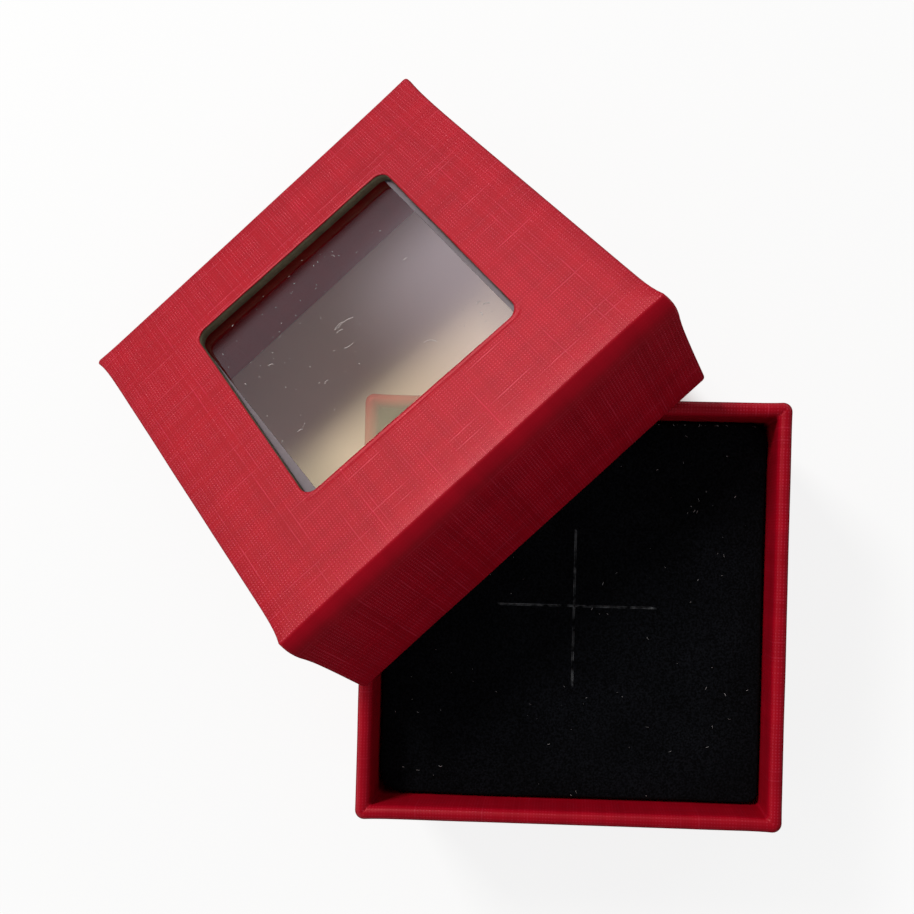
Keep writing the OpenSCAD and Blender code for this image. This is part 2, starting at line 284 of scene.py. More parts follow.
def linen_paper(finish):
    """Coated cover paper, roller-embossed like linen: rows of tiny dots with thicker slub threads
    both ways. The tops of the dots are painted paler, a painted highlight of the emboss, and their
    polished tops catch the light; folds are pressed smooth and lose the dots and that painted
    highlight. The dyed coating tints the highlights."""
    material, tree = new_material("red_linen_embossed_paper")
    uv = add(tree, "UVMap", uv_map="paper")
    threads = add(tree, "VectorMath", {0: uv, "Scale": 1 / finish.thread}, operation="SCALE")
    drift = add(tree, "TexNoise", {"Vector": threads, "Scale": WANDER_RATE, "Detail": 1.0},
                out="Color", noise_dimensions="2D")
    drift = add(tree, "VectorMath", {0: drift, 1: (0.5, 0.5, 0.5)}, operation="SUBTRACT")
    drift = add(tree, "VectorMath", {0: drift, "Scale": WANDER}, operation="SCALE")
    threads = add(tree, "VectorMath", {0: threads, 1: drift}, operation="ADD")
    place = add(tree, "SeparateXYZ", {0: threads})
    ridges, slubs, stripes = [], [], []
    for across, along in ((0, 1), (1, 0)):
        here, there = place.node.outputs[across], place.node.outputs[along]
        phase = add(tree, "Math", {0: here, 1: 2 * math.pi}, operation="MULTIPLY")
        wave = add(tree, "Math", {0: phase}, operation="COSINE")
        ridge = add(tree, "MapRange", {0: wave, 1: DOT_FOOT, 2: 1.0}, interpolation_type="SMOOTHSTEP")
        row = add(tree, "Math", {0: here}, operation="ROUND")
        chance = add(tree, "TexWhiteNoise", {"W": row}, noise_dimensions="1D")
        stout = add(tree, "MapRange", {0: chance, 1: 0.0, 2: FAINT_SHARE, 3: FAINTEST_THREAD})
        ridges.append(add(tree, "Math", {0: ridge, 1: stout}, operation="MULTIPLY"))
        slow = add(tree, "Math", {0: there, 1: SLUB_RATE}, operation="MULTIPLY")
        slow = add(tree, "CombineXYZ", {0: row, 1: slow})
        piece = add(tree, "TexNoise", {"Vector": slow, "Scale": 1.0, "Detail": 0.0},
                    noise_dimensions="2D")
        piece = add(tree, "MapRange", {0: piece, 1: SLUB_LEVELS[0], 2: SLUB_LEVELS[1]})
        picked = add(tree, "Math", {0: chance, 1: 1 - SLUB_SHARE}, operation="GREATER_THAN")
        slub = add(tree, "Math", {0: picked, 1: piece}, operation="MULTIPLY")
        slubs.append(add(tree, "Math", {0: slub, 1: ridge}, operation="MULTIPLY"))
        band = add(tree, "CombineXYZ", {
            spot: add(tree, "Math", {0: way, 1: rate}, operation="MULTIPLY")
            for spot, (way, rate) in enumerate(zip((here, there), STRIPE_RATES))})
        stripes.append(add(tree, "TexNoise", {"Vector": band, "Scale": 1.0, "Detail": 2.0},
                           noise_dimensions="2D"))
    dots = add(tree, "Math", {0: ridges[0], 1: ridges[1]}, operation="MULTIPLY")
    cell = add(tree, "VectorMath", {0: threads, 1: (0.5, 0.5, 0.5)}, operation="ADD")
    cell = add(tree, "VectorMath", {0: cell}, operation="FLOOR")
    height = add(tree, "TexWhiteNoise", {"Vector": cell}, noise_dimensions="2D")
    height = add(tree, "MapRange", {0: height, 3: FAINTEST_DOT})
    dots = add(tree, "Math", {0: dots, 1: height}, operation="MULTIPLY")
    slub = add(tree, "Math", {0: slubs[0], 1: slubs[1]}, operation="MAXIMUM")
    slub = add(tree, "Math", {0: slub, 1: SLUB_HEIGHT}, operation="MULTIPLY")
    raised = add(tree, "Math", {0: dots, 1: slub}, operation="MAXIMUM")
    crease = add(tree, "Attribute", attribute_name="crease", out="Fac")
    left = add(tree, "MapRange", {0: crease, 3: 1.0, 4: LEFT_IN_FOLDS})
    raised = add(tree, "Math", {0: raised, 1: left}, operation="MULTIPLY")
    # Painted highlight: the raised tops of the dots and slubs take the paler red.
    dot_highlight = add(tree, "Math", {0: raised, 1: DOT_HIGHLIGHT_SHARE}, operation="MULTIPLY")
    red = add(tree, "Mix", {0: dot_highlight, 6: opaque(finish.red), 7: opaque(finish.dot_highlight_red)}, out=2,
              data_type="RGBA")
    stripe = add(tree, "Math", {0: stripes[0], 1: stripes[1]}, operation="ADD")
    red = mottled(tree, stripe, STRIPE_LEVELS, STRIPE_TONES, red)
    bump = add(tree, "Bump", {"Height": raised, "Distance": finish.emboss, "Strength": 1.0})
    polished = add(tree, "MapRange", {0: raised, 2: TOP_HEIGHT, 3: GROUND_ROUGHNESS,
                                      4: TOP_ROUGHNESS})
    surface = add(tree, "BsdfPrincipled", {
        "Base Color": red, "Roughness": polished, "Specular IOR Level": 0.5,
        "Specular Tint": opaque(finish.gloss), "Normal": bump})
    add(tree, "OutputMaterial", {"Surface": surface})
    return material


# Pulp fibres are about 0.03 mm thick and flock about 0.02 mm, too fine to show, so each of them
# is drawn as coarse as it needs to show. Clouds and patches have the size that they have.
PULP_FIBRE, PULP_CLOUD, PULP_RELIEF = 0.385 * MM, 2.38 * MM, 0.03 * MM
FLOCK_NAP, FLOCK_PATCH, FLOCK_RELIEF = 0.238 * MM, 9.1 * MM, 0.12 * MM
KRAFT_FIBRE, FOAM_SPECK, TAPE_CLOUD = 0.556 * MM, 1.11 * MM, 1.11 * MM


def greyboard(finish):
    """Recycled pulp board, die-cut: a dull olive grey with darker and paler fibres."""
    material, tree = new_material("recycled_greyboard")
    place = add(tree, "TexCoord", out="Object")
    fibre = add(tree, "TexNoise", {"Vector": place, "Scale": 1 / PULP_FIBRE, "Detail": 3.0})
    cloud = add(tree, "TexNoise", {"Vector": place, "Scale": 1 / PULP_CLOUD, "Detail": 2.0})
    blend = add(tree, "Math", {0: fibre, 1: cloud}, operation="MULTIPLY")
    board = mottled(tree, blend, (0.1, 0.45), (0.72, 1.18), tuple(finish.greyboard))
    bump = add(tree, "Bump", {"Height": fibre, "Distance": PULP_RELIEF})
    surface = add(tree, "BsdfPrincipled", {
        "Base Color": board, "Roughness": 0.92, "Specular IOR Level": 0.2, "Normal": bump})
    add(tree, "OutputMaterial", {"Surface": surface})
    return material


def kraft_tape(finish):
    """Gummed kraft paper: brown, matte, with fine fibres."""
    material, tree = new_material("gummed_kraft_paper")
    place = add(tree, "TexCoord", out="Object")
    fibre = add(tree, "TexNoise", {"Vector": place, "Scale": 1 / KRAFT_FIBRE, "Detail": 4.0})
    brown = mottled(tree, fibre, (0.3, 0.7), (0.85, 1.1), tuple(finish.kraft))
    surface = add(tree, "BsdfPrincipled", {
        "Base Color": brown, "Roughness": 0.8, "Specular IOR Level": 0.25})
    add(tree, "OutputMaterial", {"Surface": surface})
    return material


def flocked_foam(finish):
    """Foam with short black nylon flock blown on: it swallows light, and the bare foam shows as
    broken grey lines along the slit."""
    material, tree = new_material("black_nylon_flock")
    place = add(tree, "TexCoord", out="Object")
    nap = add(tree, "TexNoise", {"Vector": place, "Scale": 1 / FLOCK_NAP, "Detail": 2.0})
    patch = add(tree, "TexNoise", {"Vector": place, "Scale": 1 / FLOCK_PATCH, "Detail": 3.0})
    black = mottled(tree, patch, (0.3, 0.7), (0.75, 1.25), tuple(finish.flock))
    black = mottled(tree, nap, (0.38, 0.66), (0.35, 2.0), black)
    bare = add(tree, "Attribute", attribute_name="bare", out="Fac")
    broken = add(tree, "TexNoise", {"Vector": place, "Scale": 1 / FOAM_SPECK, "Detail": 2.0})
    broken = add(tree, "MapRange", {0: broken, 1: 0.34, 2: 0.62})
    bare = add(tree, "Math", {0: bare, 1: broken}, operation="MULTIPLY")
    black = add(tree, "Mix", {0: bare, 6: black, 7: opaque(finish.foam)}, out=2, data_type="RGBA")
    bump = add(tree, "Bump", {"Height": nap, "Distance": FLOCK_RELIEF})
    surface = add(tree, "BsdfPrincipled", {
        "Base Color": black, "Roughness": 1.0, "Specular IOR Level": 0.04, "Normal": bump,
        "Sheen Weight": 0.02, "Sheen Roughness": 0.5})
    add(tree, "OutputMaterial", {"Surface": surface})
    return material


def lint_fibre(name, fibre_colour):
    """Textile lint and dust: matte, thin fibres."""
    material, tree = new_material(name)
    surface = add(tree, "BsdfPrincipled", {
        "Base Color": opaque(fibre_colour), "Roughness": 0.9, "Specular IOR Level": 0.1})
    add(tree, "OutputMaterial", {"Surface": surface})
    return material


def clear_film(finish):
    """Thin PVC film, a little yellowed: it lets nearly all light through and mirrors the room a
    little blurred. The face on the viewer's side mirrors twice, because it stands for both."""
    material, tree = new_material("clear_pvc_film")
    through = add(tree, "BsdfTransparent", {"Color": opaque(finish.film)})
    fresnel = add(tree, "Fresnel", {"IOR": 1.54})
    inside = add(tree, "NewGeometry", out="Backfacing")
    twice = add(tree, "Math", {0: inside, 1: -2.0, 2: 2.0}, operation="MULTIPLY_ADD")
    mirror = add(tree, "Math", {0: fresnel, 1: twice}, operation="MULTIPLY", use_clamp=True)
    gloss = add(tree, "BsdfGlossy", {"Color": (1, 1, 1, 1), "Roughness": 0.04})
    surface = add(tree, "MixShader", {0: mirror, 1: through, 2: gloss})
    add(tree, "OutputMaterial", {"Surface": surface})
    return material


def film_tape(finish):
    """Double-sided tissue tape seen through its release side: flat lavender grey."""
    material, tree = new_material("double_sided_tape")
    place = add(tree, "TexCoord", out="Object")
    cloud = add(tree, "TexNoise", {"Vector": place, "Scale": 1 / TAPE_CLOUD, "Detail": 2.0})
    grey = mottled(tree, cloud, (0.3, 0.7), (0.92, 1.06), tuple(finish.tape))
    surface = add(tree, "BsdfPrincipled", {"Base Color": grey, "Roughness": 0.4})
    add(tree, "OutputMaterial", {"Surface": surface})
    return material


def set_material(piece, material):
    """Gives a piece one material."""
    piece.data.materials.clear()
    piece.data.materials.append(material)


# ---------------------------------------------------------------- paper wraps

# One closed outline of a wrap: a square of this half width with corners of this radius, at this
# depth from the closed panel. along is the distance over the paper from the middle of the panel,
# crease is 1 where the paper is pressed smooth, panel is true on the closed panel, and cut is true
# at a knife cut.
Ring = namedtuple("Ring", "half radius depth along crease panel cut", defaults=(0.0, False, False))

# A tray of paper or board. depth is that of its closed panel's outer face, slant and slant_length
# describe the band below the fold, inset says how far that band brings the fold in, rim_corner is
# the corner radius at the rim, and window is the half width of the window or None.
Tray = namedtuple("Tray", "half depth height fold slant slant_length inset roll corner rim_corner "
                          "bulge rim wall inner_corner inner_end window")

LEAST_RADIUS = 0.1 * MM
# The outline: cuts along each straight side, and segments of each corner.
SIDE_CUTS, CORNER_SEGMENTS = 63, 6
# How far in from the fold the panel rolls off, and how far down from the rim its corners differ.
ROLL_REACH, RIM_CORNER_REACH = 1.5 * MM, 1.4 * MM
# Where the rings of a panel without a window start, as a share of its half width.
PANEL_START = 0.2
# Rings over a whole panel and one with a window, the fold, the band, the pressed part of the
# wall, the rest of it, a quarter of the rim, its flat and the inside.
WHOLE_STEPS, WINDOW_STEPS, FOLD_STEPS, BAND_STEPS = 26, 14, 8, 12
PRESS_STEPS, WALL_STEPS, RIM_STEPS, FLAT_STEPS, INSIDE_STEPS = 3, 18, 6, 2, 12
# How smooth the paper is pressed at the rim and inside; at which parts of the fold that starts
# and is full, and from which part of the band it fades.
RIM_CREASE, INSIDE_CREASE, CREASE_RISE, CREASE_FADE = 0.35, 0.65, (0.3, 0.6), 0.45
# How fast the crease of the rim rises over the last part of the wall.
RIM_CREASE_RISE = 6


def add_arc(rings, centre, radius, start, end, steps, round_off, crease):
    """Carries the section on over an arc round a (half, depth) point; the angle runs from start
    to end in degrees, 0 pointing outwards and 90 towards the rim. round_off(half, depth) gives
    the corner radius of each ring, and crease(part) how smooth the paper is pressed there."""
    along = rings[-1].along
    for step in range(1, steps + 1):
        part = step / steps
        turn = math.radians(start + (end - start) * part)
        half = centre[0] + radius * math.cos(turn)
        depth = centre[1] + radius * math.sin(turn)
        travel = along + radius * math.radians(abs(end - start)) * part
        rings.append(Ring(half, round_off(half, depth), depth, travel, crease(part)))


def add_straight(rings, end, steps, round_off, crease):
    """Carries the section on straight to a (half, depth) point."""
    start = rings[-1]
    run = math.dist((start.half, start.depth), end)
    for step in range(1, steps + 1):
        part = step / steps
        half = start.half + (end[0] - start.half) * part
        depth = start.depth + (end[1] - start.depth) * part
        travel = start.along + run * part
        rings.append(Ring(half, round_off(half, depth), depth, travel, crease(part)))


def slant_steps(slant, slant_length):
    """The bowed band below the fold, as steps of (inwards, down) that end on the straight wall."""
    if not slant:
        return []
    run = slant_length / BAND_STEPS
    turns = [slant * (1 - (step + 0.5) / BAND_STEPS) for step in range(BAND_STEPS)]
    return [(run * math.sin(turn), run * math.cos(turn)) for turn in turns]


def panel_half(tray):
    """Half width of the flat panel, up to where the fold starts to turn."""
    return tray.half - tray.inset - tray.fold * math.cos(tray.slant)


def panel_rings(tray):
    """Rings over the closed panel, from its middle or its window to the fold, where it rolls off."""
    start, steps = (tray.window, WINDOW_STEPS) if tray.window else (tray.half * PANEL_START,
                                                                    WHOLE_STEPS)
    end = panel_half(tray)
    rings = []
    for step in range(1, steps + 1):
        half = start + (end - start) * step / steps
        drop = tray.roll * max(0.0, 1 - (end - half) / ROLL_REACH) ** 2
        rings.append(Ring(half, LEAST_RADIUS, tray.depth + drop, half, 0.0, True))
    return rings


def tray_rings(tray, pressed):
    """The rings of a tray from the middle of its closed panel, or the window's edge, out over the
    fold, down the wall, round the rim and back up the inside to where it ends."""
    outer, inner = tray.half, tray.half - tray.wall
    wall_end = tray.height - tray.rim

    def outside(half, depth):
        deep = max(0.0, min(1.0, (depth - wall_end + RIM_CORNER_REACH) / RIM_CORNER_REACH))
        corner = tray.corner + (tray.rim_corner - tray.corner) * deep * deep * (3 - 2 * deep)
        return max(LEAST_RADIUS, corner - max(0.0, outer - half - tray.inset))

    def inside(half, depth):
        return tray.inner_corner

    def fold_crease(part):
        rise = (part - CREASE_RISE[0]) / (CREASE_RISE[1] - CREASE_RISE[0])
        return min(1.0, max(0.0, rise))

    # The fold: a tight arc, then a bowed band down to where the wall stands straight.
    rings = panel_rings(tray)
    add_arc(rings, (panel_half(tray), tray.depth + tray.roll + tray.fold), tray.fold, -90,
            -math.degrees(tray.slant), FOLD_STEPS, outside, fold_crease)
    band = slant_steps(tray.slant, tray.slant_length)
    for number, (inwards, down) in enumerate(band):
        smooth = 1 - max(0.0, (number + 1) / len(band) - CREASE_FADE) / (1 - CREASE_FADE)
        add_straight(rings, (rings[-1].half + inwards, rings[-1].depth + down), 1, outside,
                     lambda part: smooth)
    # The wall: pressed smooth below a plain fold, then out to the rim.
    below_fold = 0.0 if band else 1.0
    add_straight(rings, (outer, rings[-1].depth + pressed), PRESS_STEPS, outside,
                 lambda part: below_fold * (1 - part))
    top = outer + tray.bulge
    add_straight(rings, (top, wall_end), WALL_STEPS, outside,
                 lambda part: max(0.0, RIM_CREASE - RIM_CREASE_RISE * (1 - part)))
    # The rim, which has a flat when its radius is less than half of its width, and the inside.
    add_arc(rings, (top - tray.rim, wall_end), tray.rim, 0, 90, RIM_STEPS, outside,
            lambda part: RIM_CREASE)
    if inner + tray.rim < top - tray.rim - LEAST_RADIUS:
        add_straight(rings, (inner + tray.rim, tray.height), FLAT_STEPS, inside,
                     lambda part: RIM_CREASE)
    add_arc(rings, (inner + tray.rim, wall_end), tray.rim, 90, 180, RIM_STEPS, inside,
            lambda part: RIM_CREASE + (INSIDE_CREASE - RIM_CREASE) * part)
    add_straight(rings, (inner, tray.inner_end), INSIDE_STEPS, inside, lambda part: INSIDE_CREASE)
    rings[-1] = rings[-1]._replace(cut=True)
    return rings


def outline_spots(bm, half, radius):
    """Makes one flat face, a square with round corners, and returns its outline in order with each
    vertex's spot: where it is on the straight sides (-1 to 1) and which way it faces."""
    bmesh.ops.create_grid(bm, x_segments=1, y_segments=1, size=half)
    bmesh.ops.bevel(bm, geom=bm.verts[:], offset=radius, affect="VERTICES",
                    segments=CORNER_SEGMENTS, profile=0.5, material=-1)
    sides = [edge for edge in bm.edges if edge.calc_length() > half]
    bmesh.ops.subdivide_edges(bm, edges=sides, cuts=SIDE_CUTS)
    bm.faces.ensure_lookup_table()
    verts = [loop.vert for loop in bm.faces[0].loops]
    spots = []
    straight = half - radius
    for vert in verts:
        on = Vector((max(-1.0, min(1.0, vert.co.x / straight)),
                     max(-1.0, min(1.0, vert.co.y / straight))))
        facing = (vert.co.xy - on * straight).normalized()
        spots.append((on, facing))
    return verts, spots


def extrude_outline(bm, verts):
    """Extrudes a closed outline, and returns its new vertices in the same order."""
    edges = [bm.edges.get((a, b)) for a, b in zip(verts, verts[1:] + verts[:1])]
    made = bmesh.ops.extrude_edge_only(bm, edges=edges)["geom"]
    fresh = {item for item in made if isinstance(item, bmesh.types.BMVert)}
    return [next(edge.other_vert(vert) for edge in vert.link_edges
                 if edge.other_vert(vert) in fresh) for vert in verts]


def ring_point(spot, ring):
    """Where a spot lies on a ring, before any unevenness."""
    on, facing = spot
    flat = on * (ring.half - ring.radius) + facing * ring.radius
    return Vector((flat.x, flat.y, ring.depth))


def near_corner(spot, half, reach):
    """1 at a corner, falling to 0 along the sides over the reach."""
    on, _ = spot
    run = half * (1 - min(abs(on.x), abs(on.y)))
    return math.exp(-run / reach)


def fading(distance, reach):
    """1 where the distance is nothing, and falling smoothly to nothing beyond the reach."""
    return math.exp(-((distance / reach) ** 2))


# How far the ears reach down from the panel and in over it, the flare up from the rim, and the
# mitre grooves down from the rim and round from the diagonal.
EAR_DOWN, EAR_IN, FLARE_UP, MITRE_DOWN, MITRE_ROUND = 3.5 * MM, 2.0 * MM, 4.0 * MM, 0.6 * MM, 0.3
# How far the ears stand out across the lid, for each unit along it.
EAR_ACROSS = 0.35
# How often the glued paper waves, its rim ripples and its cuts stray, for each metre.
WAVE_RATE, RIPPLE_RATE, CUT_RATE, WINDOW_CUT_RATE = 130, 210, 300, 260
# How strong the ripple of the rim is, in waves, and the stray of the inner cut, in window cuts.
RIPPLE_SHARE, INNER_CUT_SHARE = 0.6, 3
# Where in the noise the waves of the base, of the lid and of its window are read.
BASE_SEED, LID_SEED, WINDOW_SEED = 3.0, 7.0, 11


def uneven(spot, ring, hand, tray, ear, flare, seed):
    """How far hand-folded paper strays at a spot of a ring: ears at the corners of the closed
    panel, a flare at the corners of the rim, and shallow waves where it was glued."""
    on, facing = spot
    inward = tray.half - ring.half
    below_rim = tray.height - ring.depth
    off_panel = float(not ring.panel)
    long_ear = tray.window is not None and on.x < 0 < on.y
    corner = near_corner(spot, ring.half, hand.long_ear_reach if long_ear else hand.ear_reach)
    top = fading(ring.depth, EAR_DOWN) * fading(max(0.0, inward - tray.inset), EAR_IN)
    bottom = fading(below_rim, FLARE_UP) * off_panel
    push = corner * (ear * top + flare * bottom)
    point = ring_point(spot, ring)
    wave = 0.5 + 0.5 * noise.noise(point * WAVE_RATE + Vector((seed, 0, 0)))
    outwards = max(-1.0, min(1.0, (tray.wall / 2 - inward) / (tray.wall / 4)))
    offset = facing.to_3d() * (off_panel * hand.wave * wave * outwards)
    offset += Vector((math.copysign(EAR_ACROSS, on.x), math.copysign(1.0, on.y), 0)) * push
    rim = fading(below_rim, MITRE_DOWN) * off_panel
    diagonal = fading(abs(facing.x) - abs(facing.y), MITRE_ROUND)
    inner_part = max(0.0, min(1.0, inward / tray.wall * 2 - 0.4))
    offset.z -= rim * diagonal * inner_part * hand.mitre
    ripple = noise.noise(Vector((point.x, point.y, seed)) * RIPPLE_RATE)
    offset.z += rim * hand.wave * RIPPLE_SHARE * ripple
    if ring.cut:
        stray = noise.noise(Vector((point.x, point.y, seed + 5)) * CUT_RATE)
        offset.z += hand.cut_wave * INNER_CUT_SHARE * stray
    return offset


def build_wrap(bm, rings, displaced, window=None):
    """Sweeps the outline over the rings. displaced(spot, ring) gives each vertex's place, and
    window the half width and corner radius of the cut, without which the panel is closed."""
    crease = bm.verts.layers.float.new("crease")
    paper = bm.loops.layers.uv.new("paper")
    half, radius = window or (rings[0].half / 2, LEAST_RADIUS)
    verts, spots = outline_spots(bm, half, radius)
    middle = bm.faces[0]
    start = Ring(half, radius, rings[0].depth, half, 0.0, True)
    data = {vert: (spot, start) for vert, spot in zip(verts, spots)}
    for ring in rings:
        verts = extrude_outline(bm, verts)
        for vert, spot in zip(verts, spots):
            vert[crease] = ring.crease
            data[vert] = (spot, ring)
    for vert, (spot, ring) in data.items():
        vert.co = displaced(spot, ring)
    if window:
        bmesh.ops.delete(bm, geom=[middle], context="FACES_ONLY")
    for face in bm.faces:
        facing = sum((data[vert][0][1] for vert in face.verts), Vector((0, 0)))
        sideways = abs(facing.x) >= abs(facing.y)
        for loop in face.loops:
            ring = data[loop.vert][1]
            flat = loop.vert.co.xy
            if ring.panel:
                loop[paper].uv = flat
            elif sideways:
                loop[paper].uv = (math.copysign(ring.along, facing.x), flat.y)
            else:
                loop[paper].uv = (flat.x, math.copysign(ring.along, facing.y))


def new_object(name, bm):
    """Turns a bmesh into an object of the scene."""
    mesh = bpy.data.meshes.new(name)
    bm.to_mesh(mesh)
    bm.free()
    made = bpy.data.objects.new(name, mesh)
    bpy.context.scene.collection.objects.link(made)
    return made


def finish_piece(name, bm, material, body, replaced, place=None):
    """Turns a bmesh into a piece that rides on a body and stands for CAD nodes."""
    if place is not None:
        bmesh.ops.transform(bm, matrix=place, verts=bm.verts[:])
    for face in bm.faces:
        face.smooth = True
    piece = new_object(name, bm)
    set_material(piece, material)
    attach(piece, body)
    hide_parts(*replaced)
    return piece


def thicken(piece, thickness):
    """Gives a paper sheet its thickness on the side of the board."""
    wall = piece.modifiers.new("paper thickness", "SOLIDIFY")
    wall.thickness = thickness
    wall.offset = -1.0


def base_tray(scene, skin):
    """The base, all its outer faces drawn in by skin."""
    box, shape = scene.ringbox_box, shape_of(scene)
    return Tray(half=box.width / 2 - skin, depth=skin, height=box.height - skin,
                fold=box.fold_radius - skin, slant=0.0, slant_length=0.0, inset=0.0, roll=0.0,
                corner=box.corner_radius - skin, rim_corner=box.rim_corner - skin,
                bulge=box.bulge, rim=(shape.wall + box.bulge) / 2 - skin, wall=shape.wall,
                inner_corner=box.inner_radius,
                inner_end=shape.panel + box.bare_band, window=None)


def lid_tray(scene, skin):
    """The lid, upside down, all its outer faces drawn in by skin."""
    box, lid, shape = scene.ringbox_box, scene.ringbox_lid, shape_of(scene)
    inset = sum(inwards for inwards, _ in slant_steps(lid.slant, lid.slant_length))
    return Tray(half=shape.lid_width / 2 - skin, depth=skin, height=lid.height - skin,
                fold=lid.fold_radius - skin, slant=lid.slant, slant_length=lid.slant_length,
                inset=inset, roll=lid.roll, corner=box.corner_radius - skin,
                rim_corner=box.corner_radius - skin, bulge=0.0, rim=lid.rim_radius - skin,
                wall=shape.wall, inner_corner=LEAST_RADIUS, inner_end=shape.panel + lid.bare_band,
                window=shape.window_width / 2)


def stood_up(scene, tray, spot, ring):
    """How far the slanted band moves out again on the sides where it slants less or not at all."""
    lid = scene.ringbox_lid
    if ring.depth > tray.height / 2:
        return Vector((0, 0))
    on, _ = spot
    gap = max(0.0, min(tray.inset, tray.half - ring.half))
    share_x = 1.0 if on.x > 0 else lid.slant_floor
    share_y = lid.slant_right if on.y > 0 else lid.slant_left
    return gap * Vector((on.x * (1 - share_x), on.y * (1 - share_y)))


def beside_panel(scene, tray, spot, ring, shift):
    """Where a spot of the fold, the wall or the rim lies in the lid's own frame."""
    point = ring_point(spot, ring) + shift
    point.xy += stood_up(scene, tray, spot, ring)
    return Vector((point.x, point.y, -point.z))


def over_panel(scene, tray, spot, ring, window_half):
    """Where a spot of a panel ring lies: on the turned window cut for the smallest ring, on the
    fold for the largest, and in between for the others."""
    lid = scene.ringbox_lid
    on, facing = spot
    turn = Matrix.Rotation(lid.window_turn, 2)
    middle = Vector((lid.window_x, lid.window_y))
    widest = panel_half(tray)
    out = (ring.half - window_half) / (widest - window_half)
    cut = middle + turn @ (on * (window_half - lid.window_radius) + facing * lid.window_radius)
    edge = on * (widest - LEAST_RADIUS) + facing * LEAST_RADIUS
    edge += stood_up(scene, tray, spot, ring._replace(half=widest))
    return cut.lerp(edge, out), out


class RINGBOX_OT_base_paper(bpy.types.Operator):
    """Wraps the base in red linen paper"""
    bl_idname = "ringbox.base_paper"
    bl_label = "Base paper"

    def execute(self, context):
        scene = context.scene
        box, hand = scene.ringbox_box, scene.ringbox_hand
        tray = base_tray(scene, 0.0)
        bm = bmesh.new()

        def displaced(spot, ring):
            shift = uneven(spot, ring, hand, tray, hand.base_ear, hand.base_flare, BASE_SEED)
            return ring_point(spot, ring) + shift

        build_wrap(bm, tray_rings(tray, box.pressed), displaced)
        bmesh.ops.reverse_faces(bm, faces=bm.faces[:])
        piece = finish_piece("base_paper", bm, linen_paper(scene.ringbox_finish), "base",
                             ["base_wrap"])
        thicken(piece, box.paper)
        return {"FINISHED"}


class RINGBOX_OT_base_tray(bpy.types.Operator):
    """Makes the base's greyboard tray, its rim rounded by the paper pulled over it"""
    bl_idname = "ringbox.base_tray"
    bl_label = "Base tray"

    def execute(self, context):
        scene = context.scene
        box, shape = scene.ringbox_box, shape_of(scene)
        tray = base_tray(scene, box.paper)
        tray = tray._replace(wall=box.board, inner_corner=LEAST_RADIUS, inner_end=shape.panel)
        bm = bmesh.new()
        build_wrap(bm, tray_rings(tray, box.pressed), ring_point)
        last = [edge for edge in bm.edges if edge.is_boundary]
        bmesh.ops.contextual_create(bm, geom=last)
        bmesh.ops.recalc_face_normals(bm, faces=bm.faces[:])
        finish_piece("base_tray", bm, greyboard(scene.ringbox_finish), "base", ["base_board"])
        return {"FINISHED"}


# The paper round the window: rings at these millimetres from its cut; how deep and wide it dips
# at the cut; how deep the groove of the pressed film is, where it runs and how wide it is; and how
# fast the waver of the cut fades over the panel.
CUT_RINGS = (0.12, 0.32, 0.4, 0.48, 0.7, 1.0)
DIP, DIP_REACH = 0.07 * MM, 0.12 * MM
GROOVE, GROOVE_PLACE, GROOVE_REACH = 0.08 * MM, 0.4 * MM, 0.07 * MM
WAVER_FADE = 30


class RINGBOX_OT_lid_paper(bpy.types.Operator):
    """Wraps the lid in red linen paper with the window cut through it"""
    bl_idname = "ringbox.lid_paper"
    bl_label = "Lid paper"

    def execute(self, context):
        scene = context.scene
        box, lid, hand = scene.ringbox_box, scene.ringbox_lid, scene.ringbox_hand
        tray = lid_tray(scene, 0.0)
        near = [Ring(tray.window + step * MM, 0.0, 0.0, 0.0, 0.0, True) for step in CUT_RINGS]
        rings = tray_rings(tray, box.pressed)
        rings = near + [ring for ring in rings if not ring.panel or ring.half > near[-1].half]
        bm = bmesh.new()

        def displaced(spot, ring):
            shift = uneven(spot, ring, hand, tray, hand.lid_ear, hand.lid_flare, LID_SEED)
            if not ring.panel:
                return beside_panel(scene, tray, spot, ring, shift)
            facing = spot[1]
            flat, out = over_panel(scene, tray, spot, ring, tray.window)
            stray = noise.noise(Vector((flat.x, flat.y, WINDOW_SEED)) * WINDOW_CUT_RATE)
            flat += facing * (hand.cut_wave * stray) * math.exp(-out * WAVER_FADE)
            gap = ring.half - tray.window
            sunk = DIP * fading(gap, DIP_REACH)
            sunk += GROOVE * fading(gap - GROOVE_PLACE, GROOVE_REACH) * max(0.0, facing.x)
            return Vector((flat.x + shift.x, flat.y + shift.y, -(ring.depth + shift.z + sunk)))

        build_wrap(bm, rings, displaced, (tray.window, lid.window_radius))
        piece = finish_piece("lid_paper", bm, linen_paper(scene.ringbox_finish), "lid",
                             ["lid_wrap"], lid_place(scene))
        thicken(piece, box.paper)
        return {"FINISHED"}


# Rings over the underside of the lid's panel, from the wall to the window.
UNDER_STEPS = 6


